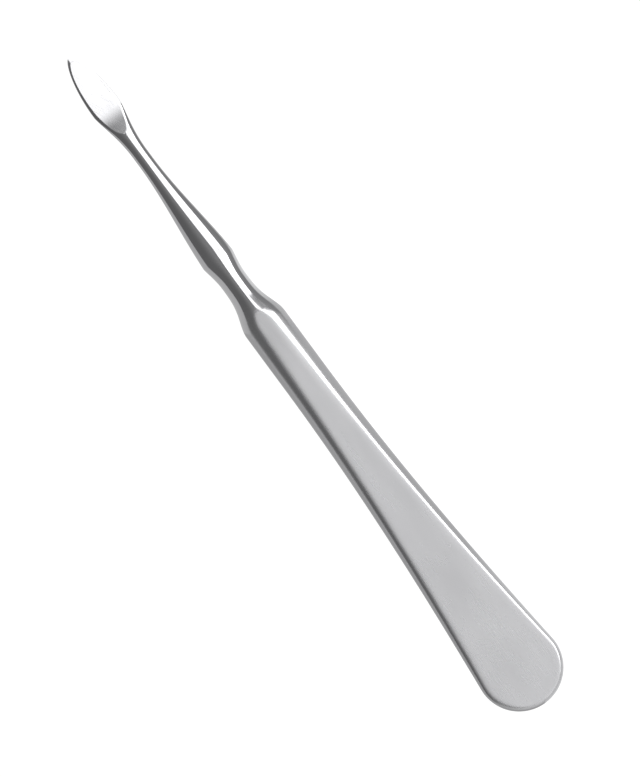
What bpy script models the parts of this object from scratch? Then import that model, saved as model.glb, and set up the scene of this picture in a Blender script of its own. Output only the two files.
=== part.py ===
# A one-piece forged nail cleaner: pointed leaf blade, slim neck with a collar, flat-ground handle.
# The tool lies on the ground face under its handle, with its point toward +X and +Z up.
# It is forged in one piece, so it is one solid: a bar swelled, drawn down and hammered
# wide, with a flat ground on each side of the handle and a hollow ground into the blade.

from math import asin, atan2, copysign, cos, pi, radians, sin, sqrt, tan

import bmesh
import bpy
from mathutils import Matrix, Vector

MM = 0.001

# Lengths along the tool, from the point to the round end of the handle
LEAF_RISE = 9.4 * MM
LEAF_FALL = 8.4 * MM
NECK_STRAIGHT = 1.4 * MM
NECK_SWELL = 18.1 * MM
COLLAR_FALL = 3.9 * MM
SHOULDER_RISE = 8.1 * MM
SHOULDER_STRAIGHT = 9.9 * MM
HANDLE_FLARE = 53.5 * MM

# Widths across the tool, seen from above
TIP_WIDTH = 0.3 * MM
LEAF_WIDTH = 4.68 * MM
NECK_WIDTH = 2.43 * MM
COLLAR_DIAMETER = 5.28 * MM
WAIST_WIDTH = 4.26 * MM
SHOULDER_WIDTH = 7.05 * MM
HANDLE_END_RADIUS = 6.65 * MM

# Thicknesses of the forging, before anything is ground off it
LEAF_THICKNESS = 1.16 * MM
NECK_THICKNESS = 2.2 * MM
SHOULDER_THICKNESS = 6.92 * MM
HANDLE_END_THICKNESS = 2.22 * MM
LEAF_THICKENING = 4.8 * MM
THICKNESS_RISE = 10.0 * MM

# Width of the rounding along each edge of the handle, beside its flat faces
SHOULDER_EDGE = 3.13 * MM
HANDLE_END_EDGE = 0.86 * MM

# Thickness left between the two ground faces of the handle
GROUND_SHOULDER_THICKNESS = 6.74 * MM
GROUND_END_THICKNESS = 2.18 * MM

# The hollow ground into the blade: a straight run from the point, then the rim of the wheel
HOLLOW_SLOPE = radians(1.1)
HOLLOW_STRAIGHT = 9.5 * MM
HOLLOW_WHEEL_RADIUS = 15.5 * MM
HOLLOW_WHEEL_ARC = radians(34.0)
HOLLOW_TIP_HEIGHT = 0.18 * MM

# How the outline, the thickness and the edges bend where one stretch meets the next
LEAF_FULLNESS = 0.65
LEAF_FALL_FULLNESS = 0.7
SHOULDER_FULLNESS = 1.6
NECK_ROUNDING = 3
COLLAR_SLOPE_IN = 0.05
COLLAR_SLOPE_OUT = -0.15
HANDLE_END_LEAN = radians(5.63)
THICKNESS_SLOPE_IN = 0.03
THICKNESS_SLOPE_OUT = 0.15
EDGE_SLOPE_IN = -0.079
EDGE_SLOPE_OUT = -0.029

# Steel colour and finish
STEEL_COLOUR = (0.56, 0.57, 0.58, 1.0)
STEEL_ROUGHNESS = 0.25

# Facets
RING_SIDES = 56
STATION_STEP = 1.5 * MM
TIP_STATIONS = 10
END_STATIONS = 14
WHEEL_FACETS = 20
SHARP_ANGLE = radians(30)
CUTTER_MARGIN = 3.0 * MM
LEAST_SHARE = 1e-6

# Distances from the point, worked out from the lengths above
LEAF_AT = LEAF_RISE
THICK_AT = LEAF_AT + LEAF_THICKENING
NECK_AT = LEAF_AT + LEAF_FALL
NECK_END = NECK_AT + NECK_STRAIGHT
COLLAR_AT = NECK_END + NECK_SWELL
WAIST_AT = COLLAR_AT + COLLAR_FALL
SHOULDER_AT = WAIST_AT + SHOULDER_RISE
FLARE_AT = SHOULDER_AT + SHOULDER_STRAIGHT
END_ARC_AT = FLARE_AT + HANDLE_FLARE
END_CENTRE = END_ARC_AT + HANDLE_END_RADIUS * sin(HANDLE_END_LEAN)
TOOL_LENGTH = END_CENTRE + HANDLE_END_RADIUS
GROUND_FROM = COLLAR_AT + THICKNESS_RISE

# Each ground face leans by this much from the axis of the tool
GROUND_LEAN = atan2(
    (GROUND_SHOULDER_THICKNESS - GROUND_END_THICKNESS) / 2,
    END_CENTRE - GROUND_FROM,
)


def eased(share):
    """Half a cosine wave, which leaves 0 and arrives at 1 with no slope."""
    return (1 - cos(pi * share)) / 2


def curved(share, start, end, slope_in, slope_out, length):
    """A cubic from start to end that has the given slopes at its two ends."""
    rise = 3 * share**2 - 2 * share**3
    lean_in = share**3 - 2 * share**2 + share
    lean_out = share**3 - share**2
    return start + (end - start) * rise + length * (slope_in * lean_in + slope_out * lean_out)


def half_width(s):
    """Half the width of the forging at a distance s from the point."""
    if s < LEAF_AT:
        open_part = 1 - (1 - s / LEAF_AT) ** 2
        return (TIP_WIDTH + (LEAF_WIDTH - TIP_WIDTH) * open_part**LEAF_FULLNESS) / 2
    if s < NECK_AT:
        share = eased(((s - LEAF_AT) / LEAF_FALL) ** LEAF_FALL_FULLNESS)
        return (LEAF_WIDTH + (NECK_WIDTH - LEAF_WIDTH) * share) / 2
    if s < NECK_END:
        return NECK_WIDTH / 2
    if s < COLLAR_AT:
        share = (s - NECK_END) / NECK_SWELL
        radii = NECK_WIDTH / 2, COLLAR_DIAMETER / 2
        return curved(share, *radii, 0, COLLAR_SLOPE_IN, NECK_SWELL)
    if s < WAIST_AT:
        share = (s - COLLAR_AT) / COLLAR_FALL
        radii = COLLAR_DIAMETER / 2, WAIST_WIDTH / 2
        return curved(share, *radii, COLLAR_SLOPE_OUT, 0, COLLAR_FALL)
    if s < SHOULDER_AT:
        share = eased(((s - WAIST_AT) / SHOULDER_RISE) ** SHOULDER_FULLNESS)
        return (WAIST_WIDTH + (SHOULDER_WIDTH - WAIST_WIDTH) * share) / 2
    if s < FLARE_AT:
        return SHOULDER_WIDTH / 2
    if s < END_ARC_AT:
        share = (s - FLARE_AT) / HANDLE_FLARE
        widest = HANDLE_END_RADIUS * cos(HANDLE_END_LEAN)
        return curved(share, SHOULDER_WIDTH / 2, widest, 0, tan(HANDLE_END_LEAN), HANDLE_FLARE)
    return sqrt(max(HANDLE_END_RADIUS**2 - (s - END_CENTRE) ** 2, 0))


def half_thickness(s):
    """Half the thickness of the forging at a distance s from the point."""
    if s < LEAF_AT:
        return half_width(s) * LEAF_THICKNESS / LEAF_WIDTH
    if s < THICK_AT:
        share = eased((s - LEAF_AT) / LEAF_THICKENING)
        return (LEAF_THICKNESS + (NECK_THICKNESS - LEAF_THICKNESS) * share) / 2
    if s < NECK_END:
        return NECK_THICKNESS / 2
    if s < COLLAR_AT:
        flatness = NECK_THICKNESS / NECK_WIDTH
        share = ((s - NECK_END) / NECK_SWELL) ** NECK_ROUNDING
        return half_width(s) * (flatness + (1 - flatness) * share)
    if s < GROUND_FROM:
        share = (s - COLLAR_AT) / THICKNESS_RISE
        ends = COLLAR_DIAMETER / 2, SHOULDER_THICKNESS / 2
        return curved(share, *ends, THICKNESS_SLOPE_IN, THICKNESS_SLOPE_OUT, THICKNESS_RISE)
    share = (s - GROUND_FROM) / (END_CENTRE - GROUND_FROM)
    return (SHOULDER_THICKNESS + (HANDLE_END_THICKNESS - SHOULDER_THICKNESS) * share) / 2


def edge_width(s):
    """Width of the rounding beside the flat face; a narrower forging is round all over."""
    length = END_CENTRE - GROUND_FROM
    share = min(max((s - GROUND_FROM) / length, 0), 1)
    edges = SHOULDER_EDGE, HANDLE_END_EDGE
    edge = curved(share, *edges, EDGE_SLOPE_IN, EDGE_SLOPE_OUT, length)
    return edge if s > END_CENTRE else min(edge, half_width(s))


def ring_point(s, turn):
    """A point of the forging's section at s: a flat top, then a quarter of an ellipse to the side.
    Round the end of the handle the same quarter follows the arc of the outline."""
    edge = edge_width(s)
    past_centre = max(s - END_CENTRE, 0)
    flat = (HANDLE_END_RADIUS if past_centre else half_width(s)) - edge
    least = asin(min(max(past_centre - flat, 0) / edge, 1))
    quarter = asin(abs(sin(turn)))
    lean = pi / 2 - quarter * (1 - least / (pi / 2))
    reach = sqrt(max((flat + edge * sin(lean)) ** 2 - past_centre**2, 0))
    on_ridge = abs(cos(turn)) < LEAST_SHARE
    y = 0 if on_ridge else copysign(reach, cos(turn))
    return (-s, y, copysign(half_thickness(s) * cos(lean), sin(turn)))


def stations():
    """Distances from the point at which the forging has a ring, closer at its two ends."""
    marks = [LEAF_AT, THICK_AT, NECK_AT, NECK_END, COLLAR_AT, WAIST_AT]
    marks = sorted(marks + [GROUND_FROM, SHOULDER_AT, FLARE_AT, END_CENTRE])
    found = [LEAF_AT * (1 - cos(pi / 2 * n / TIP_STATIONS)) for n in range(TIP_STATIONS)]
    for start, end in zip(marks, marks[1:]):
        steps = max(1, round((end - start) / STATION_STEP))
        found += [start + (end - start) * n / steps for n in range(steps)]
    for n in range(END_STATIONS):
        found.append(END_CENTRE + HANDLE_END_RADIUS * sin(pi / 2 * n / END_STATIONS))
    return found


def new_object(name, shape, parent):
    """Puts a bmesh into the scene as an object, under a parent."""
    mesh = bpy.data.meshes.new(name)
    bmesh.ops.recalc_face_normals(shape, faces=shape.faces)
    shape.to_mesh(mesh)
    shape.free()
    made = bpy.data.objects.new(name, mesh)
    bpy.context.scene.collection.objects.link(made)
    made.parent = parent
    return made


def forging(parent):
    """The forged body: rings along the axis, a blunt point and a closed round end."""
    shape = bmesh.new()
    rings = []
    for s in stations():
        turns = [2 * pi * n / RING_SIDES for n in range(RING_SIDES)]
        rings.append([shape.verts.new(ring_point(s, turn)) for turn in turns])
    for ring, following in zip(rings, rings[1:]):
        for n in range(RING_SIDES):
            m = (n + 1) % RING_SIDES
            shape.faces.new((ring[n], ring[m], following[m], following[n]))
    shape.faces.new(rings[0])
    end = shape.verts.new((-TOOL_LENGTH, 0, 0))
    for n in range(RING_SIDES):
        shape.faces.new((rings[-1][n], rings[-1][(n + 1) % RING_SIDES], end))
    return new_object("forged_body", shape, parent)


def prism(name, profile, parent):
    """A cutter: a profile in the XZ plane, made as wide as the handle and a margin."""
    shape = bmesh.new()
    reach = HANDLE_END_RADIUS + CUTTER_MARGIN
    side = [shape.verts.new((x, -reach, z)) for x, z in profile]
    face = shape.faces.new(side)
    grown = bmesh.ops.extrude_face_region(shape, geom=[face])
    moved = [v for v in grown["geom"] if isinstance(v, bmesh.types.BMVert)]
    bmesh.ops.translate(shape, verts=moved, vec=Vector((0, 2 * reach, 0)))
    cutter = new_object(name, shape, parent)
    cutter.display_type = "WIRE"
    cutter.hide_render = True
    return cutter


def ground_face(name, side, parent):
    """A slab whose inner face is the ground face on one side of the handle."""
    from_point = -CUTTER_MARGIN
    to_end = TOOL_LENGTH + CUTTER_MARGIN
    outside = SHOULDER_THICKNESS + CUTTER_MARGIN

    def height(s):
        return GROUND_SHOULDER_THICKNESS / 2 - (s - GROUND_FROM) * tan(GROUND_LEAN)

    profile = [
        (-from_point, side * height(from_point)),
        (-to_end, side * height(to_end)),
        (-to_end, side * outside),
        (-from_point, side * outside),
    ]
    return prism(name, profile, parent)


def hollow(parent):
    """The wheel that grinds the blade: a straight run up from the point, then an arc."""
    top = LEAF_WIDTH + CUTTER_MARGIN
    start = -CUTTER_MARGIN
    climb = tan(HOLLOW_SLOPE)
    profile = [(-start, HOLLOW_TIP_HEIGHT + start * climb)]
    for n in range(WHEEL_FACETS + 1):
        lean = HOLLOW_SLOPE + HOLLOW_WHEEL_ARC * n / WHEEL_FACETS
        along = HOLLOW_WHEEL_RADIUS * (sin(lean) - sin(HOLLOW_SLOPE))
        rise = HOLLOW_WHEEL_RADIUS * (cos(HOLLOW_SLOPE) - cos(lean))
        s = HOLLOW_STRAIGHT + along
        profile.append((-s, HOLLOW_TIP_HEIGHT + HOLLOW_STRAIGHT * climb + rise))
    profile.append((profile[-1][0], top))
    profile.append((-start, top))
    return prism("blade_hollow_cutter", profile, parent)


def grind(body, cutter):
    """Takes a cutter's shape off the body."""
    cut = body.modifiers.new(cutter.name, "BOOLEAN")
    cut.operation = "DIFFERENCE"
    cut.solver = "EXACT"
    cut.object = cutter


def flat_faces_even(body):
    """Lets the broad flat faces decide the shading along their borders, so they look flat."""
    even = body.modifiers.new("even_flat_faces", "WEIGHTED_NORMAL")
    even.mode = "FACE_AREA"
    even.keep_sharp = True


def steel():
    """Stainless steel as forged, ground and polished."""
    made = bpy.data.materials.new("stainless_steel")
    made.use_nodes = True
    shader = made.node_tree.nodes["Principled BSDF"]
    shader.inputs["Base Color"].default_value = STEEL_COLOUR
    shader.inputs["Metallic"].default_value = 1.0
    shader.inputs["Roughness"].default_value = STEEL_ROUGHNESS
    made.diffuse_color = STEEL_COLOUR
    return made


def laid_down():
    """Turns the axis of the tool so that the lower ground face is level, at height 0."""
    half_length = TOOL_LENGTH / 2 * cos(GROUND_LEAN)
    face_to_axis = GROUND_SHOULDER_THICKNESS / 2 * cos(GROUND_LEAN)
    point_height = face_to_axis + GROUND_FROM * sin(GROUND_LEAN)
    place = Matrix.Translation((half_length, 0, point_height))
    return place @ Matrix.Rotation(-GROUND_LEAN, 4, "Y")


def main():
    for old in list(bpy.data.objects):
        bpy.data.objects.remove(old, do_unlink=True)
    axis = bpy.data.objects.new("tool_axis", None)
    bpy.context.scene.collection.objects.link(axis)
    axis.matrix_world = laid_down()
    body = forging(axis)
    grind(body, ground_face("upper_face_cutter", 1, axis))
    grind(body, ground_face("lower_face_cutter", -1, axis))
    grind(body, hollow(axis))
    body.data.materials.append(steel())
    body.data.shade_smooth()
    body.data.set_sharp_from_angle(angle=SHARP_ANGLE)
    flat_faces_even(body)


main()
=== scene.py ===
import bpy
import numpy as np
from mathutils import Matrix, Vector


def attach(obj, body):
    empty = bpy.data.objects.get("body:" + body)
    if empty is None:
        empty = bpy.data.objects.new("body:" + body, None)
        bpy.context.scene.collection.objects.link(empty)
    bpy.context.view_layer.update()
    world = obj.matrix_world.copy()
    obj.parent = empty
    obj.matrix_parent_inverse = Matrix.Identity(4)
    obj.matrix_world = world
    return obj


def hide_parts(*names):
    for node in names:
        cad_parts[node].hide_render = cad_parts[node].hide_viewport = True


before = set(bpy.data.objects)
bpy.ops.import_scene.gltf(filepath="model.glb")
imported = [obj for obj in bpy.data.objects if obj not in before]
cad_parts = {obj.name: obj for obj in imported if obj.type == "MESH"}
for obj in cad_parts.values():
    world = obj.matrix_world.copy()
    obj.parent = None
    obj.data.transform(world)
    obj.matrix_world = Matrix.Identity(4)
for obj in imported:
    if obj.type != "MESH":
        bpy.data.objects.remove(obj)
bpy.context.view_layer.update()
mm = 0.001
print("frame loaded")

# One forging, drawn along its axis from the point of the blade to the round end of the handle.
# Everything is in mm, angles in degrees.
tool = {
    "leafRise": 9.4,  # point to the widest place of the blade
    "leafFall": 8.4,  # widest place to the thin neck
    "neckStraight": 1.4,
    "neckSwell": 18.1,  # neck to the crest of the collar
    "collarFall": 3.9,
    "shoulderRise": 8.1,
    "shoulderStraight": 9.9,
    "handleFlare": 53.5,
    "tipWidth": 0.3,
    "leafWidth": 4.68,
    "neckWidth": 2.43,
    "collarWidth": 5.28,
    "waistWidth": 4.26,
    "shoulderWidth": 7.05,
    "endRadius": 6.65,
    "leafThick": 1.16,  # thicknesses of the forging, before it is ground
    "shoulderThick": 6.92,
    "endThick": 2.22,
    "neckThick": 2.2,
    "leafThickening": 4.8,  # length over which the flat blade grows as thick as the neck
    "neckRounding": 3,  # power with which the oval neck turns round towards the collar
    "thickRise": 10.0,  # crest of the collar to the thickest place
    "shoulderEdge": 3.13,  # width of the rounding beside the flat faces
    "endEdge": 0.86,
    "groundShoulder": 6.74,  # thickness left between the two ground faces
    "groundEnd": 2.18,
    "hollowSlope": 1.1,  # rise of the blade's ground face from the point
    "hollowStraight": 9.5,  # length of the straight run before the wheel's arc
    "wheelRadius": 15.5,
    "wheelReach": 0.9,  # sine of the arc's lean up to which it is followed, well above the steel
    "hollowTip": 0.18,  # height of that face above the axis at the point
    "leafFullness": 0.65,  # powers: below 1 the width changes early, above 1 late
    "fallFullness": 0.7,
    "shoulderFullness": 1.6,
    "collarSlopeIn": 0.05,  # slopes of the outline before and behind the crest of the collar
    "collarSlopeOut": -0.15,
    "endLean": 5.63,  # of the handle's sides where they run into the end's circle
    "thickSlopeIn": 0.03,  # slopes of the half thickness at the crest and at the thickest place
    "thickSlopeOut": 0.15,
    "edgeSlopeIn": -0.079,  # slopes of the rounding's width at the thickest place and at the end
    "edgeSlopeOut": -0.029,
}

leafAt = tool["leafRise"]
neckAt = leafAt + tool["leafFall"]
neckEnd = neckAt + tool["neckStraight"]
collarAt = neckEnd + tool["neckSwell"]
waistAt = collarAt + tool["collarFall"]
groundFrom = collarAt + tool["thickRise"]
shoulderAt = waistAt + tool["shoulderRise"]
flareAt = shoulderAt + tool["shoulderStraight"]
endArcAt = flareAt + tool["handleFlare"]
endLean = np.radians(tool["endLean"])
endCentre = endArcAt + tool["endRadius"] * np.sin(endLean)
toolLength = endCentre + tool["endRadius"]
groundLean = np.arctan2((tool["groundShoulder"] - tool["groundEnd"]) / 2, endCentre - groundFrom)


# half a cosine wave, (1 - cos(pi u)) / 2, flat at 0 and at 1
def eased(share):
    return (1 - np.cos(np.pi * np.clip(share, 0, 1))) / 2


# cubic a + (b - a)(3u^2 - 2u^3) + length (slopeIn (u^3 - 2u^2 + u) + slopeOut (u^3 - u^2))
def curved(u, a, b, slopeIn, slopeOut, length):
    u = np.clip(u, 0, 1)
    lean = slopeIn * (u**3 - 2 * u**2 + u) + slopeOut * (u**3 - u**2)
    return a + (b - a) * (3 * u**2 - 2 * u**3) + length * lean


# half the width at distance s from the point: power curve, cosine, cubics, and a circle at the end
def halfWidth(s):
    t = tool
    openPart = np.clip(1 - (1 - s / leafAt) ** 2, 0, 1)
    leaf = (t["tipWidth"] + (t["leafWidth"] - t["tipWidth"]) * openPart ** t["leafFullness"]) / 2
    narrowing = eased(np.clip((s - leafAt) / t["leafFall"], 0, 1) ** t["fallFullness"])
    fall = (t["leafWidth"] + (t["neckWidth"] - t["leafWidth"]) * narrowing) / 2
    swell = curved((s - neckEnd) / t["neckSwell"], t["neckWidth"] / 2, t["collarWidth"] / 2,
                   0, t["collarSlopeIn"], t["neckSwell"])
    collar = curved((s - collarAt) / t["collarFall"], t["collarWidth"] / 2, t["waistWidth"] / 2,
                    t["collarSlopeOut"], 0, t["collarFall"])
    rise = eased(np.clip((s - waistAt) / t["shoulderRise"], 0, 1) ** t["shoulderFullness"])
    shoulder = (t["waistWidth"] + (t["shoulderWidth"] - t["waistWidth"]) * rise) / 2
    flare = curved((s - flareAt) / t["handleFlare"], t["shoulderWidth"] / 2,
                   t["endRadius"] * np.cos(endLean), 0, np.tan(endLean), t["handleFlare"])
    end = np.sqrt(np.clip(t["endRadius"] ** 2 - (s - endCentre) ** 2, 0, None))
    return np.select([s < leafAt, s < neckEnd, s < collarAt, s < waistAt, s < flareAt, s < endArcAt],
                     [leaf, fall, swell, collar, shoulder, flare], end)


# half the thickness before grinding: a share of the leaf's width, a cosine up to the neck, a share of
# the width that grows with a power, a cubic to the shoulder, straight taper
def halfThick(s):
    t = tool
    wide = halfWidth(s)
    leaf = wide * t["leafThick"] / t["leafWidth"]
    growth = eased((s - leafAt) / t["leafThickening"])
    neck = (t["leafThick"] + (t["neckThick"] - t["leafThick"]) * growth) / 2
    flatness = t["neckThick"] / t["neckWidth"]
    roundness = np.clip((s - neckEnd) / t["neckSwell"], 0, 1) ** t["neckRounding"]
    swell = wide * (flatness + (1 - flatness) * roundness)
    rise = curved((s - collarAt) / t["thickRise"], t["collarWidth"] / 2, t["shoulderThick"] / 2,
                  t["thickSlopeIn"], t["thickSlopeOut"], t["thickRise"])
    share = (s - groundFrom) / (endCentre - groundFrom)
    taper = (t["shoulderThick"] + (t["endThick"] - t["shoulderThick"]) * share) / 2
    return np.select([s < leafAt, s < neckEnd, s < collarAt, s < groundFrom],
                     [leaf, neck, swell, rise], taper)


# width of the rounding along each side: a cubic, never more than half the width
def edgeWidth(s):
    t = tool
    length = endCentre - groundFrom
    edge = curved((s - groundFrom) / length, t["shoulderEdge"], t["endEdge"],
                  t["edgeSlopeIn"], t["edgeSlopeOut"], length)
    return np.where(s > endCentre, edge, np.minimum(edge, halfWidth(s)))


# height of the handle's ground face above the axis: a plane that sinks towards the end
def groundHeight(s):
    return tool["groundShoulder"] / 2 - (s - groundFrom) * np.tan(groundLean)


# height of the blade's ground face: a straight slope up from the point, then the wheel's arc, which
# adds radius (cos lean - sqrt(1 - sine^2))
def hollowHeight(s):
    lean = np.radians(tool["hollowSlope"])
    straight = tool["hollowTip"] + np.minimum(s, tool["hollowStraight"]) * np.tan(lean)
    sine = np.sin(lean) + np.clip(s - tool["hollowStraight"], 0, None) / tool["wheelRadius"]
    sine = np.clip(sine, 0, tool["wheelReach"])
    return straight + tool["wheelRadius"] * (np.cos(lean) - np.sqrt(1 - sine**2))


# minimum of a and b with its corner rounded: b + (a - b) h - k h (1 - h), where h goes from 0 to 1 as
# b - a goes from -k to k
def softMin(a, b, k):
    h = np.clip(0.5 + 0.5 * (b - a) / k, 0, 1)
    return b + (a - b) * h - k * h * (1 - h)


rings = {
    "tip": 56,  # rings from the point to the widest place of the blade
    "end": 70,  # rings round the end of the handle
    # between these: from where, and the step there
    "runs": [(leafAt, 0.11), (12.4, 0.05), (14.8, 0.2), (18.7, 0.27), (36.4, 0.07), (38.4, 0.16),
             (45.5, 0.08), (49.5, 0.2), (57.6, 0.56)],
    "quarter": 42,  # points from the ridge to the side
    "edgeCrowd": 1.8,  # how much closer they lie on the rounding than on the level top
    "cornerAt": 26,  # the point that follows the border of the blade's ground face
    "cornerReach": 0.97,  # share of the height up to which it does, short of the ridge
    "releaseFrom": 12.6,
    "releaseTo": 13.6,  # where the points stop following it
    "bladeCorner": 0.012,  # height over which the border of the blade's face is rounded
    "baseCorner": 0.025,  # the same at the blade's base
    "baseFrom": 11.5,  # between these places it goes from one to the other
    "baseTo": 13,
    "bladeEnd": 20,  # behind this only the handle's faces are ground
    "handleCorner": 0.1,
    "rollWidth": 0.8,  # the handle's faces bend down by rollDrop over this width beside their borders
    "rollDrop": 0.035,
    "rollRise": 8,  # length over which the bend grows from nothing at the front of the face
    "satinFrom": 43,  # where the satin finish sets in, and where it is complete
    "satinTo": 50,
}


# distances from the point that get a ring: by a cosine to the blade's widest place, in even steps, small
# where the form turns quickly, and by a sine round the end
def ringPlaces():
    found = [leafAt * (1 - np.cos(np.linspace(0, np.pi / 2, rings["tip"] + 1)[:-1]))]
    stops = [start for start, step in rings["runs"][1:]] + [endCentre]
    for (start, step), stop in zip(rings["runs"], stops):
        found.append(np.linspace(start, stop, round((stop - start) / step) + 1)[:-1])
    found.append(endCentre + tool["endRadius"] * np.sin(np.linspace(0, np.pi / 2, rings["end"] + 1)[:-1]))
    return np.concatenate(found)


# One quarter of every ring, as distance from the middle and height of the unground forging: level out to
# where the rounding starts, then a quarter of an ellipse, (flat + edge sin(turn), thick cos(turn)). Round
# the end each distance y becomes sqrt(y^2 - past^2), so the same rounding runs round the end's circle.
def quarterRings(s):
    edge, thick = edgeWidth(s)[:, None], halfThick(s)[:, None]
    past = np.clip(s - endCentre, 0, None)[:, None]
    flat = np.where(past > 0, tool["endRadius"], halfWidth(s)[:, None]) - edge
    level = np.sqrt(np.clip(flat**2 - past**2, 0, None))
    least = np.arcsin(np.clip((past - flat) / edge, 0, 1))
    bend = rings["edgeCrowd"] * edge
    share = np.linspace(0, 1, rings["quarter"] + 1)[None, :]
    height = np.clip(hollowHeight(s)[:, None] / thick, 0, rings["cornerReach"])
    corner = np.arccos(height) / (np.pi / 2)
    at = rings["cornerAt"] / rings["quarter"]
    follow = np.where(share < at, share / at * corner, corner + (share - at) / (1 - at) * (1 - corner))
    hold = 1 - eased((s - rings["releaseFrom"]) / (rings["releaseTo"] - rings["releaseFrom"]))[:, None]
    share = share + hold * (follow - share)
    run = share * (level + bend * (np.pi / 2 - least))
    turn = least + np.clip(run - level, 0, None) / bend
    bent = np.sqrt(np.clip((flat + edge * np.sin(turn)) ** 2 - past**2, 0, None))
    return np.where(run < level, run, bent), thick * np.cos(turn)


# the handle's ground face: the plane, bent down by the square of how far a point is past the start of
# the roll-off, which lies a fixed way inside the border where the plane meets the rounding
def handleFace(s, y):
    plane, thick, edge = groundHeight(s)[:, None], halfThick(s)[:, None], edgeWidth(s)[:, None]
    border = halfWidth(s)[:, None] - edge * (1 - np.sqrt(1 - np.clip(plane / thick, 0, 1) ** 2))
    past = np.clip((y - border) / rings["rollWidth"] + 1, 0, 2)
    drop = rings["rollDrop"] * eased((s - groundFrom) / rings["rollRise"])[:, None]
    return plane - drop * past**2


# The ground faces taken off the quarter rings: the top is the soft minimum of the forging and the cut, and
# so is the handle's underside. A face's share is 0 on the forging, 1 on the cut, straight between.
def groundRings(s):
    y, arc = quarterRings(s)
    ground = handleFace(s, y)
    base = eased((s - rings["baseFrom"]) / (rings["baseTo"] - rings["baseFrom"]))
    bladeCorner = rings["bladeCorner"] + (rings["baseCorner"] - rings["bladeCorner"]) * base
    blade = s < rings["bladeEnd"]
    soft = np.where(blade, bladeCorner, rings["handleCorner"])[:, None]
    cut = np.where(blade[:, None], hollowHeight(s)[:, None], ground)
    top = softMin(arc, cut, soft)
    bottom = np.where(blade[:, None], arc, softMin(arc, ground, soft))
    topFace = np.clip(0.5 + 0.5 * (arc - cut) / soft, 0, 1)
    bottomFace = np.where(blade[:, None], 0, np.clip(0.5 + 0.5 * (arc - ground) / soft, 0, 1))
    return y, top, -bottom, topFace, bottomFace


# axis frame to world, turned by the lean of the ground face: (x cos - z sin, y, x sin + z cos), moved so
# that the lower ground face lies level at height 0 and the middle of the length at x = 0
def laidDown(points):
    halfLength = toolLength / 2 * np.cos(groundLean)
    pointHeight = tool["groundShoulder"] / 2 * np.cos(groundLean) + groundFrom * np.sin(groundLean)
    x, y, z = points[..., 0], points[..., 1], points[..., 2]
    worldX = x * np.cos(groundLean) - z * np.sin(groundLean) + halfLength
    worldZ = x * np.sin(groundLean) + z * np.cos(groundLean) + pointHeight
    return np.stack([worldX, y, worldZ], axis=-1) * mm


# four quarters joined into whole rings: ridge, one side, lower ridge, other side and back to the ridge
def wholeRings(first, second, third, fourth):
    return np.concatenate([first[:, :-1], second[:, :0:-1], third[:, :-1], fourth[:, :0:-1]], axis=1)


# the closed surface: every ring joined to the next by quads, and a fan of triangles at either end
def buildTool():
    s = ringPlaces()
    y, top, bottom, topFace, bottomFace = groundRings(s)
    ringY = wholeRings(y, y, -y, -y)
    ringZ = wholeRings(top, bottom, bottom, top)
    face = wholeRings(topFace, bottomFace, bottomFace, topFace)
    rows, cols = ringY.shape
    ring = np.stack([np.broadcast_to(-s[:, None], ringY.shape), ringY, ringZ], axis=-1)
    poles = np.array([[0, 0, 0], [-toolLength, 0, 0]])
    places = laidDown(np.concatenate([ring.reshape(-1, 3), poles]))
    i, j = np.meshgrid(np.arange(rows - 1), np.arange(cols), indexing="ij")
    k = (j + 1) % cols
    quads = np.stack([i * cols + j, i * cols + k, (i + 1) * cols + k, (i + 1) * cols + j], axis=-1)
    j, k = np.arange(cols), (np.arange(cols) + 1) % cols
    last = (rows - 1) * cols
    tipFan = np.stack([k, j, np.full(cols, rows * cols)], axis=-1)
    endFan = np.stack([last + j, last + k, np.full(cols, rows * cols + 1)], axis=-1)
    faces = quads.reshape(-1, 4).tolist() + tipFan.tolist() + endFan.tolist()
    mesh = bpy.data.meshes.new("nailCleanerBody")
    mesh.from_pydata(places.tolist(), [], faces)
    setIn = eased((s - rings["satinFrom"]) / (rings["satinTo"] - rings["satinFrom"]))
    shares = {  # of each point, with the two poles last
        "groundFace": np.append(face.reshape(-1), [0, 0]),
        "satinShare": np.append(np.repeat(setIn, cols), [0, 1]),
    }
    for name, values in shares.items():
        mesh.attributes.new(name, "FLOAT", "POINT").data.foreach_set("value", values.astype(np.float32))
    # the neck up to the waist is polished, the handle behind it is satin
    satin = np.repeat((s[:-1] > waistAt).astype(np.int32), cols)
    satin = np.concatenate([satin, np.zeros(cols, np.int32), np.ones(cols, np.int32)])
    mesh.polygons.foreach_set("material_index", satin)
    mesh.polygons.foreach_set("use_smooth", np.ones(len(faces), bool))
    mesh.update()
    body = bpy.data.objects.new("nailCleanerBody", mesh)
    bpy.context.scene.collection.objects.link(body)
    return body


# sRGB hex to linear
def linear(hexColour):
    srgb = np.array([int(hexColour[n:n + 2], 16) for n in (1, 3, 5)]) / 255
    rgb = np.where(srgb < 0.04045, srgb / 12.92, ((srgb + 0.055) / 1.055) ** 2.4)
    return (*rgb.tolist(), 1.0)


# one node with its own fields, and its inputs as values or as outputs of other nodes
def addNode(tree, kind, fields, inputs):
    node = tree.nodes.new(kind)
    for field, value in fields.items():
        setattr(node, field, value)
    for socket, value in inputs.items():
        if isinstance(value, bpy.types.NodeSocket):
            tree.links.new(value, node.inputs[socket])
        else:
            node.inputs[socket].default_value = value
    return node


# noise whose patches are size mm long, wide and high, turned about the upright axis:
# noise(turned place / size)
def patches(tree, place, size, turn=0.0, detail=2.0):
    spread = addNode(tree, "ShaderNodeMapping", {"vector_type": "TEXTURE"}, {
        "Vector": place, "Rotation": (0, 0, np.radians(turn)), "Scale": tuple(n * mm for n in size)})
    return addNode(tree, "ShaderNodeTexNoise", {}, {
        "Vector": spread.outputs[0], "Scale": 1.0, "Detail": detail}).outputs[0]


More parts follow.
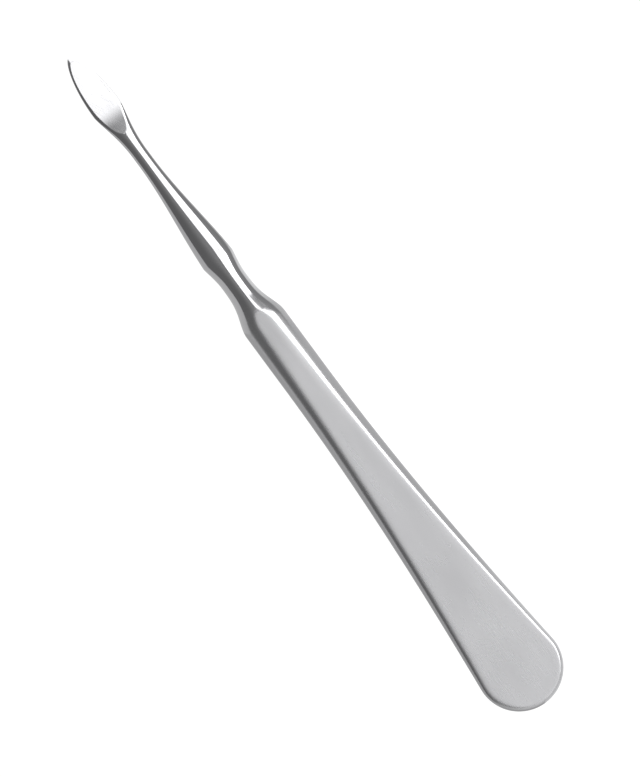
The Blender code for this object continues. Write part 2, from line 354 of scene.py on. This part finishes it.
# thin streaks of noise at an angle, times how far the point is on a ground face: the rounded sides
# have none
def scratches(tree, place, turn, face):
    streaks = patches(tree, place, steel["scratch"], turn, detail=0)
    return addNode(tree, "ShaderNodeMath", {"operation": "MULTIPLY"}, {0: streaks, 1: face}).outputs[0]


# base plus, for each layer, low..high as its noise runs over start..stop
def layered(tree, base, layers):
    for noise, (start, stop, low, high) in layers:
        part = addNode(tree, "ShaderNodeMapRange", {}, {
            "Value": noise, "From Min": start, "From Max": stop, "To Min": low, "To Max": high})
        base = addNode(tree, "ShaderNodeMath", {"operation": "ADD"}, {0: base, 1: part.outputs[0]}).outputs[0]
    return base


steel = {
    "colour": "#C4C4C6",
    "handled": "#BCBCBE",  # where fingers have left a thin film
    "filmRun": (0.4, 0.75),  # the film's noise from bare to handled
    "polished": 0.09,  # roughness
    "hollow": 0.17,
    "satinEdge": 0.24,
    "satinFace": 0.3,
    "buffLine": (1.6, 0.12, 0.12),  # mm; the real ones are about 0.02 wide, too fine to show
    "beltLine": (6.0, 0.16, 0.16),
    "beltDetail": 4,
    "haze": (5.0, 2.5, 2.5),
    "film": (14.0, 5.0, 5.0),
    "scratch": (5.0, 0.07, 5.0),
    "buffDepth": 0.00015,  # mm
    "beltDepth": 0.00005,
    # what a pattern adds to the roughness: start and stop of its noise, and what is added at each
    "buffRough": (0.3, 0.7, -0.015, 0.015),
    "polishedHaze": (0.3, 0.7, -0.02, 0.02),
    "hairlines": (0.7, 0.76, 0, 0.08),
    "beltRough": (0.3, 0.7, -0.012, 0.012),
    "satinHaze": (0.3, 0.7, -0.012, 0.012),
    "longLines": (0.72, 0.78, 0, 0.12),
    "crossLines": (0.74, 0.8, 0, 0.12),
    "hairlineTurn": 24,  # degrees from the axis
    "longTurn": 17,
    "crossTurn": -38,
}


# base colour mixed with the handled one as the film's noise runs from bare to handled
def steelColour(tree, place):
    film = patches(tree, place, steel["film"])
    bare, handled = steel["filmRun"]
    share = addNode(tree, "ShaderNodeMapRange", {}, {"Value": film, "From Min": bare, "From Max": handled})
    return addNode(tree, "ShaderNodeMix", {"data_type": "RGBA"}, {
        0: share.outputs[0], 6: linear(steel["colour"]), 7: linear(steel["handled"])}).outputs[2]


# a new material with its nodes, the place of a point, and how far it is on a ground face
def startSteel(name):
    made = bpy.data.materials.new(name)
    made.use_nodes = True
    tree = made.node_tree
    place = addNode(tree, "ShaderNodeTexCoord", {}, {}).outputs["Object"]
    face = addNode(tree, "ShaderNodeAttribute", {"attribute_name": "groundFace"}, {}).outputs["Fac"]
    return made, tree, place, face


# bare metal, with relief depth mm high where its noise goes from 0 to 1
def finishSteel(tree, place, rough, relief, depth):
    shader = tree.nodes["Principled BSDF"]
    bump = addNode(tree, "ShaderNodeBump", {}, {"Strength": 1.0, "Distance": depth * mm, "Height": relief})
    shader.inputs["Metallic"].default_value = 1.0
    tree.links.new(steelColour(tree, place), shader.inputs["Base Color"])
    tree.links.new(rough, shader.inputs["Roughness"])
    tree.links.new(bump.outputs[0], shader.inputs["Normal"])


# Forged steel polished on a soft wheel. Sharp reflections that haze a little in patches give the bright
# streaks of the neck; the hollow is left a touch duller by the grinding wheel, with hairlines from use.
def polishedSteel():
    made, tree, place, face = startSteel("polishedForgedSteel")
    rough = addNode(tree, "ShaderNodeMapRange", {}, {
        "Value": face, "To Min": steel["polished"], "To Max": steel["hollow"]})
    lines = patches(tree, place, steel["buffLine"])
    rough = layered(tree, rough.outputs[0], [
        (lines, steel["buffRough"]),
        (patches(tree, place, steel["haze"]), steel["polishedHaze"]),
        (scratches(tree, place, steel["hairlineTurn"], face), steel["hairlines"]),
    ])
    finishSteel(tree, place, rough, lines, steel["buffDepth"])
    return made


# The same steel finished on a fine belt. Grain along the handle spreads the reflections into the even
# grey of the flat faces; the rounded sides are finer, and a few hairlines lie across the grain where the
# tool has been laid down.
def satinSteel():
    made, tree, place, face = startSteel("satinGroundSteel")
    along = addNode(tree, "ShaderNodeAttribute", {"attribute_name": "satinShare"}, {}).outputs["Fac"]
    edge = addNode(tree, "ShaderNodeMapRange", {}, {
        "Value": along, "To Min": steel["polished"], "To Max": steel["satinEdge"]})
    rough = addNode(tree, "ShaderNodeMapRange", {}, {
        "Value": face, "To Min": edge.outputs[0], "To Max": steel["satinFace"]})
    grain = patches(tree, place, steel["beltLine"], detail=steel["beltDetail"])
    rough = layered(tree, rough.outputs[0], [
        (grain, steel["beltRough"]),
        (patches(tree, place, steel["haze"]), steel["satinHaze"]),
        (scratches(tree, place, steel["longTurn"], face), steel["longLines"]),
        (scratches(tree, place, steel["crossTurn"], face), steel["crossLines"]),
    ])
    cut = addNode(tree, "ShaderNodeMath", {"operation": "MULTIPLY"}, {0: grain, 1: along})
    finishSteel(tree, place, rough, cut.outputs[0], steel["beltDepth"])
    return made


body = buildTool()
for make in (polishedSteel, satinSteel):
    body.data.materials.append(make())
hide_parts("forged_body")
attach(body, "root")
print("tool built,", len(body.data.polygons), "faces")

# Straight above the tool, with its point at the upper left of the picture
view = {
    "tipPixel": (69.0, 57.7),
    "endPixel": (545.5, 702.8),
    "picture": (640, 777),
    "lens": 150.0,
    "sensor": 36.0,
    "farthest": 20,  # metres seen
}


# Height h of the camera above the point, from (a h - b) = f L: a is the pixel run from end to point,
# b the shift because the end lies lower, f the focal length in pixels, L the length between them.
def addCamera():
    wide, high = view["picture"]
    middle = np.array([wide / 2, high / 2])
    tip, end = ((np.array(view[key]) - middle) * (1, -1) for key in ("tipPixel", "endPixel"))
    ends = laidDown(np.array([[0, 0, 0], [-toolLength, 0, 0]]))
    run, drop = ends[0, 0] - ends[1, 0], ends[0, 2] - ends[1, 2]
    focal = high * view["lens"] / view["sensor"]
    a, b = tip - end, end * drop
    square = a @ a
    above = (a @ b + np.sqrt((a @ b) ** 2 - square * (b @ b - (focal * run) ** 2))) / square
    along = (a * above - b) / (focal * run)  # where world X points, right and up in the picture
    right = Vector((along[0], -along[1], 0))
    up = Vector((along[1], along[0], 0))
    place = Vector(ends[0]) + Vector((0, 0, above)) - (right * tip[0] + up * tip[1]) * (above / focal)
    turn = Matrix((right, up, Vector((0, 0, 1)))).transposed().to_4x4()
    shot = bpy.data.cameras.new("camera")
    shot.lens = view["lens"]
    shot.sensor_width = view["sensor"]
    shot.clip_end = view["farthest"]
    camera = bpy.data.objects.new("camera", shot)
    camera.matrix_world = Matrix.Translation(place) @ turn
    bpy.context.scene.collection.objects.link(camera)
    bpy.context.scene.camera = camera


addCamera()
print("camera placed")

# A plain pale floor, a plain softbox, and white and grey sheets that only the reflections see: on steel
# as bright as this they place the streaks, the rims and the dark lines.
studio = {
    "floorSize": 3,  # metres from the middle to a side
    "floorHeight": -0.0001,
    "floorGlow": 0.985,
    "floorMatte": 0.1,  # share of the light on it that it gives back
    "sheetMatte": 0.36,
    # light of the room around: axis, its start and stop, and what is added at each
    "room": [("Y", -0.3, 0.8, 0.36, 0.18), ("X", 0.3, 0.6, 0, 0.14), ("X", -0.4, -0.65, 0, 0.5)],
}

# Name, light, centre, half the length and half the width as steps, whether it is matte, and borders. A
# border is (x, y, from, to): the sheet fades in as x X + y Y goes from one to the other. Metres; the
# point of the tool is at +X, and right of it, seen from above, is -Y.
sheets = [
    # over the tool: the bright right side from the collar to the end, the blade's face, the handle's
    # face, and the same a little lighter towards its end
    ("softbox", 3.6, (0, -0.65, 0.44), (0.6, 0, 0), (0, 0.7, 0), False,
     [(0.15, -1, 0.102, 0.122), (0, 1, -1.3, -1.27), (-1, -0.15, -0.066, -0.052), (1, 0, -0.45, -0.35)]),
    ("bladeCard", 2.6, (0.1575, -0.015, 0.43), (0.1125, 0, 0), (0, 0.08, 0), False, [(-1, 0, -0.26, -0.02)]),
    ("ceilingCard", 1.03, (-0.21, -0.1, 0.43), (0.23, 0, 0), (0, 0.15, 0), False, []),
    ("ceilingEnd", 1.15, (-0.26, -0.1, 0.4295), (0.18, 0, 0), (0, 0.15, 0), False, [(-1, 0, 0.08, 0.16)]),
    # grey: one evens out the base of the blade, one is the dark streak from the neck to the shoulder
    ("bladeFlag", 0.48, (0.118, 0, 0.1), (0.044, 0, 0), (0, 0.006, 0), False, [(1, -4.5, 0.086, 0.112)]),
    ("neckFlag", 0.31, (0.0318, -0.0018, 0.056), (0.0196, 0, 0), (0, 0.0098, 0), False, []),
    # white streaks on the swell and on the waist and shoulder
    ("swellCard", 2.4, (0.03575, -0.0275, 0.02), (0.00835, 0, 0), (0, 0.0165, 0), False, []),
    ("shoulderCard", 2.4, (0.026, -0.023, 0.0555), (0.007, 0, 0), (0, 0.011, 0), False, []),
    # light on the blade from the right, on its point, and on its right edge from the floor
    ("tipCard", 1.9, (0.0745, -0.012, 0.0601), (0.0165, 0, 0), (0, 0, 0.06), False, []),
    ("tipEnd", 1.9, (0.064, -0.0045, 0.0126), (0, 0.0075, 0), (0, 0, 0.0125), False, []),
    ("tipFloor", 1.9, (0.0705, -0.0105, -0.00005), (0.0125, 0, 0), (0, 0.0098, 0), False, []),
    # the handle's right rim, the white streak on the neck, and the blade's bright right edge
    ("handleCard", 0.64, (-0.03, -0.06, 0.0101), (0.042, 0, 0), (0, 0, 0.01), False, []),
    ("neckCard", 2.4, (0.04, -0.021, 0.055), (0.007, 0, 0), (0, 0.022, 0), False,
     [(0.65, -0.76, 0.031, 0.036)]),
    ("sideCard", 1.9, (0.063, -0.012, 0.0126), (0.0135, 0, 0), (0, 0, 0.0125), False, []),
    # the floor as each stretch of the tool mirrors it: left of the neck and the collar, right of the
    # collar, right of the shoulder, left of the handle and right of it
    ("mirroredFloor", 0.3, (0.256, 0.4865, -0.0001), (0.244, 0, 0), (0, 0.4935, 0), True,
     [(0, -1, -0.3, -0.02)]),
    ("rightOfCollar", 0.3, (0.018, -0.007, -0.0001), (0.006, 0, 0), (0, 0.007, 0), True,
     [(0, 1, -0.014, -0.008)]),
    ("rightOfShoulder", 0.4, (0.0125, -0.013, -0.00006), (0.005, 0, 0), (0, 0.008, 0), True,
     [(-1, 0, -0.0175, -0.015), (1, 0, 0.0075, 0.01)]),
    ("leftOfHandle", 0.3, (-0.244, 0.48, -0.0001), (0.256, 0, 0), (0, 0.5, 0), True, [(0, -1, -0.1, -0.006)]),
    ("rightOfHandle", 0.3, (-0.036, -0.04, -0.0001), (0.044, 0, 0), (0, 0.02, 0), True, []),
    # bright right rims of the collar and of the handle's end, the dark band along the handle's left
    # side, and the floor far off
    ("collarRim", 0.98, (0.019, -0.007, -0.00005), (0.007, 0, 0), (0, 0.007, 0), False,
     [(1, 0, 0.0135, 0.0175), (-1, 0, -0.026, -0.022), (0, 1, -0.014, -0.008)]),
    ("rightOfEnd", 1.0, (-0.055, -0.03, -0.00005), (0.025, 0, 0), (0, 0.03, 0), False,
     [(-1, 0, 0.03, 0.056)]),
    ("besideHandle", 0.52, (-0.23, 0.03, -0.00005), (0.242, 0, 0), (0, 0.03, 0), False,
     [(0, -1, -0.032, -0.004)]),
    ("mirroredFar", 0.33, (0, 0, -0.0002), (3, 0, 0), (0, 3, 0), False, []),
]


# a flat sheet: its corners are centre - u - v, + u - v, + u + v and - u + v for half-edges u and v
def addSheet(name, centre, along, across, material):
    c, u, v = (np.array(item, float) for item in (centre, along, across))
    corners = [tuple(corner) for corner in (c - u - v, c + u - v, c + u + v, c - u + v)]
    mesh = bpy.data.meshes.new(name)
    mesh.from_pydata(corners, [], [(0, 1, 2, 3)])
    mesh.materials.append(material)
    sheet = bpy.data.objects.new(name, mesh)
    bpy.context.scene.collection.objects.link(sheet)
    return sheet


# emission plus matte paper; inside each border the sheet is there, outside it is see-through
def glow(name, strength, matte, borders):
    made = bpy.data.materials.new(name)
    made.use_nodes = True
    tree = made.node_tree
    tree.nodes.clear()
    lit = addNode(tree, "ShaderNodeEmission", {}, {"Strength": strength})
    if matte:
        paper = addNode(tree, "ShaderNodeBsdfDiffuse", {}, {"Color": (matte, matte, matte, 1)})
        lit = addNode(tree, "ShaderNodeAddShader", {}, {0: lit.outputs[0], 1: paper.outputs[0]})
    where = addNode(tree, "ShaderNodeTexCoord", {}, {})
    for x, y, start, stop in borders:
        side = addNode(tree, "ShaderNodeVectorMath", {"operation": "DOT_PRODUCT"},
                       {0: where.outputs["Object"], 1: (x, y, 0)})
        share = addNode(tree, "ShaderNodeMapRange", {"interpolation_type": "SMOOTHSTEP"},
                        {"Value": side.outputs["Value"], "From Min": start, "From Max": stop})
        clear = addNode(tree, "ShaderNodeBsdfTransparent", {}, {})
        lit = addNode(tree, "ShaderNodeMixShader", {},
                      {0: share.outputs[0], 1: clear.outputs[0], 2: lit.outputs[0]})
    addNode(tree, "ShaderNodeOutputMaterial", {}, {"Surface": lit.outputs[0]})
    return made


# light from each direction: the room's runs along X and Y added up
def lightRoom():
    world = bpy.data.worlds.new("dimRoom")
    world.use_nodes = True
    bpy.context.scene.world = world
    tree = world.node_tree
    tree.nodes.clear()
    where = addNode(tree, "ShaderNodeTexCoord", {}, {})
    axes = addNode(tree, "ShaderNodeSeparateXYZ", {}, {0: where.outputs["Generated"]})
    room = None
    for axis, start, stop, low, high in studio["room"]:
        part = addNode(tree, "ShaderNodeMapRange", {"interpolation_type": "SMOOTHSTEP"}, {
            "Value": axes.outputs[axis], "From Min": start, "From Max": stop, "To Min": low, "To Max": high})
        if room is not None:
            part = addNode(tree, "ShaderNodeMath", {"operation": "ADD"}, {0: room, 1: part.outputs[0]})
        room = part.outputs[0]
    sky = addNode(tree, "ShaderNodeBackground", {}, {"Color": (1, 1, 1, 1), "Strength": room})
    addNode(tree, "ShaderNodeOutputWorld", {}, {"Surface": sky.outputs[0]})


half = studio["floorSize"]
floor = addSheet("floor", (0, 0, studio["floorHeight"]), (half, 0, 0), (0, half, 0),
                 glow("paleFloor", studio["floorGlow"], studio["floorMatte"], []))
floor.visible_glossy = False
for name, light, centre, along, across, isMatte, borders in sheets:
    matte = studio["sheetMatte"] if isMatte else 0
    sheet = addSheet(name, centre, along, across, glow(name, light, matte, borders))
    sheet.visible_camera = False
    sheet.visible_shadow = False
    sheet.visible_diffuse = name == "softbox"
lightRoom()
bpy.context.scene.view_settings.view_transform = "Standard"
print("studio ready")
